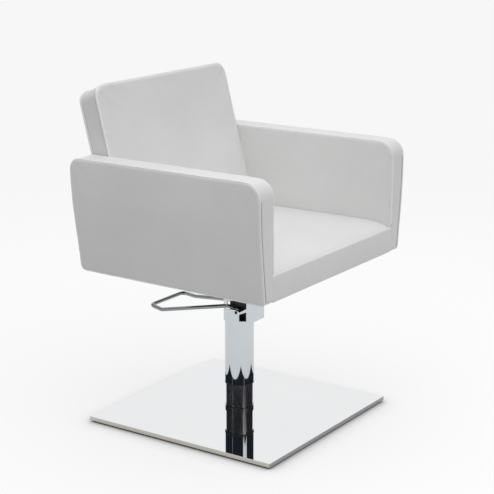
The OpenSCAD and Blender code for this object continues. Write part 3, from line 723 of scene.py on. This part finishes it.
def make_back():
    """The backrest: boxed cushion leaning between the arms, with rolled panel edges."""
    record_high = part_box("back_pad")[1]
    half = record_high.x - 3.5 * MM
    up = Vector((0, math.sin(BACK_LEAN), math.cos(BACK_LEAN)))
    rear = Vector((0, math.cos(BACK_LEAN), -math.sin(BACK_LEAN)))
    length = (record_high.z - BACK_FOOT.z) / math.cos(BACK_LEAN)

    def place(p, q, w):
        q -= BACK_DROP * w / BACK_THICK * math.exp((q - length) / BACK_DROP_FADE)
        return Vector((p, 0, 0)) + BACK_FOOT + up * q + rear * w

    outline = Outline((-half, 16 * MM), (half, length), BACK_CORNERS, STEP)
    points, faces, seams = boxed_pad(outline, BACK_THICK, 7 * MM, strip_steps=6, seam_at=3, place=place)
    pad = make_object("back_cover", points, faces, "white_vinyl")
    puff(pad, set(seams[0]) | set(seams[1]), cap=9.0 * MM)
    relax(pad, seams, groove=1.3 * MM, ripple=0.6 * MM)
    cords = []
    for part, seam, shift in (("front", seams[0], rear), ("rear", seams[1], -rear)):
        cords.append(cord("back_%s_welt" % part, pad, seam, True, 3.0 * MM, 1.0 * MM, "piping_vinyl_painted_highlight"))
        # Pale cord beside each seam of the back: painted seam shadow
        cords.append(cord("back_%s_thread" % part, pad, seam, True, 0.9 * MM, -0.2 * MM, "pale_painted_seam_shadow",
                          shift * 4.2 * MM))
    add_subdivision(pad)
    on_seat(pad, "back_pad")
    for piece in cords:
        on_seat(piece)


SEAT_REAR = 0.124
SEAT_CREST, SEAT_CREST_FADE = 17 * MM, 24 * MM  # the top rises this much behind the front seam
SEAT_NIP, SEAT_NIP_FADE = 3.5 * MM, 9 * MM      # and dips this much where it meets the armrests
SEAT_NIP_START = 30 * MM
SEAT_SHELL = 5 * MM                             # clear of the board below, and depth of the shaped layer
SEAT_CORNERS = [5 * MM, 5 * MM, 8 * MM, 8 * MM]


def make_seat():
    """The seat cushion: crowned top panel that rolls down to the front seam and nips in at the arms."""
    panel_low, panel_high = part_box("front_panel")
    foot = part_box("seat_board")[1].z + SEAT_SHELL
    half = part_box("arm_pad_left")[0].x - 0.8 * MM
    front = panel_low.y + 2.0 * MM
    seam_z = panel_high.z

    def place(p, q, w):
        return (p, q, foot + w)

    outline = Outline((-half, front), (half, SEAT_REAR), SEAT_CORNERS, STEP)
    points, faces, seams = boxed_pad(outline, seam_z - foot, 3 * MM, strip_steps=5, seam_at=3, place=place)
    for p in points:
        if p.z > seam_z - SEAT_SHELL:
            from_front = p.y - front
            from_side = half - abs(p.x)
            rise = SEAT_CREST * (1 - math.exp(-max(from_front, 0) / SEAT_CREST_FADE))
            nip = SEAT_NIP * math.exp(-from_side / SEAT_NIP_FADE)
            rise -= nip * (1 - math.exp(-from_front / SEAT_NIP_START))
            p.z += rise * min(1.0, (p.z - seam_z + SEAT_SHELL) / SEAT_SHELL)
    pad = make_object("seat_cover", points, faces, "white_vinyl")
    top = seams[1]
    held = {i for i, p in enumerate(points) if p.z < seam_z - 6 * MM} | set(top)
    puff(pad, held, cap=8.0 * MM)
    relax(pad, [top], groove=0.9 * MM, ripple=0.8 * MM)
    front_run = [i for i in top if points[i].y < front + 1.5 * MM]
    front_run.sort(key=lambda i: points[i].x)
    cords = [
        cord("seat_front_welt", pad, front_run, False, 1.5 * MM, 0.5 * MM, "piping_vinyl_painted_highlight"),
        # Pale cord below the front seam: painted seam shadow
        cord("seat_front_painted_seam_shadow", pad, front_run, False, 0.9 * MM, -0.2 * MM, "pale_painted_seam_shadow",
             Vector((0, 0, -2.6 * MM))),
    ]
    add_subdivision(pad)
    on_seat(pad, "seat_cushion")
    for piece in cords:
        on_seat(piece)


PANEL_TUCK, PANEL_ROLL, PANEL_CORNER = 5 * MM, 3 * MM, 5 * MM


def make_panel(name, node):
    """A flat upholstered panel between the arms, its ends tucked into theirs."""
    low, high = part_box(node)
    low.x -= PANEL_TUCK
    high.x += PANEL_TUCK

    def place(p, q, w):
        return (p, high.y - w, q)

    outline = Outline((low.x, low.z), (high.x, high.z), [PANEL_CORNER] * 4, STEP)
    depth = high.y - low.y
    points, faces, seams = boxed_pad(outline, depth, PANEL_ROLL, strip_steps=2, seam_at=1, place=place)
    pad = make_object(name, points, faces, "white_vinyl")
    puff(pad, set(seams[0]) | set(seams[1]), cap=1.5 * MM)
    relax(pad, seams, groove=0.3 * MM, ripple=0.3 * MM)
    add_subdivision(pad)
    on_seat(pad, node)


# ---------------------------------------------------------------- pump lever and spring

LEVER_PIVOT = Vector((0, -0.015, 0.276))
LEVER_ROD_R = 5 * MM
LEVER_ARM_X, LEVER_HALF = 26.6 * MM, 71.7 * MM
LEVER_BENDS = [26 * MM, 16 * MM, 14 * MM, 14 * MM, 16 * MM, 26 * MM]
SPRING_WIRE_R, SPRING_TURNS, SPRING_STEPS = 0.5 * MM, 3, 24


def rounded_path(corners, radii, steps=8):
    """The path through the corners, each inner one rounded to its radius."""
    path = [corners[0]]
    for a, b, c, r in zip(corners, corners[1:], corners[2:], radii):
        u, v = (a - b).normalized(), (c - b).normalized()
        half = u.angle(v) / 2
        centre = b + (u + v).normalized() * r / math.sin(half)
        e, w = (b - centre).normalized(), (v - u).normalized()
        sweep = math.pi / 2 - half
        for i in range(steps + 1):
            t = -sweep + 2 * sweep * i / steps
            path.append(centre + r * (math.cos(t) * e + math.sin(t) * w))
    path.append(corners[-1])
    return path


def make_lever():
    """The foot lever: one rod bent into a loop, with both ends in the hub."""
    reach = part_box("lever_rod")[1].y - LEVER_ROD_R
    bend = Vector((LEVER_ARM_X, 14.7 * MM, LEVER_PIVOT.z + 10.5 * MM))
    hub = Vector((LEVER_ARM_X, LEVER_PIVOT.y, LEVER_PIVOT.z))
    root = hub + (bend - hub).normalized() * 6 * MM
    side = [root, bend, Vector((LEVER_HALF, reach - 38 * MM, LEVER_PIVOT.z - 18.5 * MM)),
            Vector((LEVER_HALF - 3.4 * MM, reach, LEVER_PIVOT.z - 13.3 * MM))]
    other = [Vector((-p.x, p.y, p.z)) for p in reversed(side)]
    verts, faces = tube(rounded_path(side + other, LEVER_BENDS), LEVER_ROD_R, 24, False)
    rod = make_object("lever_loop", verts, faces, "dark_chrome")
    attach(rod, "lever")
    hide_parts("lever_rod")


def make_spring():
    """The plunger's return spring, which shortens as the lever is pressed."""
    low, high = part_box("plunger_spring")
    middle = (low + high) / 2
    ring = (high.x - low.x) / 2 - SPRING_WIRE_R
    steps = SPRING_TURNS * SPRING_STEPS
    climb = (high.z - low.z - 2 * SPRING_WIRE_R) / steps
    path = []
    for i in range(steps + 1):
        angle = 2 * math.pi * i / SPRING_STEPS
        path.append(Vector((middle.x + ring * math.cos(angle), middle.y + ring * math.sin(angle),
                            low.z + SPRING_WIRE_R + climb * i)))
    verts, faces = tube(path, SPRING_WIRE_R, 10, False)
    spring = make_object("return_spring", verts, faces, "zinc_steel")
    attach(spring, SEAT_BODY)
    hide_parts("plunger_spring")
    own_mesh(spring)


# ---------------------------------------------------------------- scene

def main():
    bpy.context.scene.view_settings.view_transform = "Standard"
    make_camera()
    make_world()
    make_lights()
    make_floor()
    MATERIALS.update(make_materials())
    finish_cad_nodes()
    make_arm("left", 1)
    make_arm("right", -1)
    make_back()
    make_seat()
    make_panel("front_facing", "front_panel")
    make_panel("rear_facing", "rear_panel")
    make_lever()
    make_spring()


main()
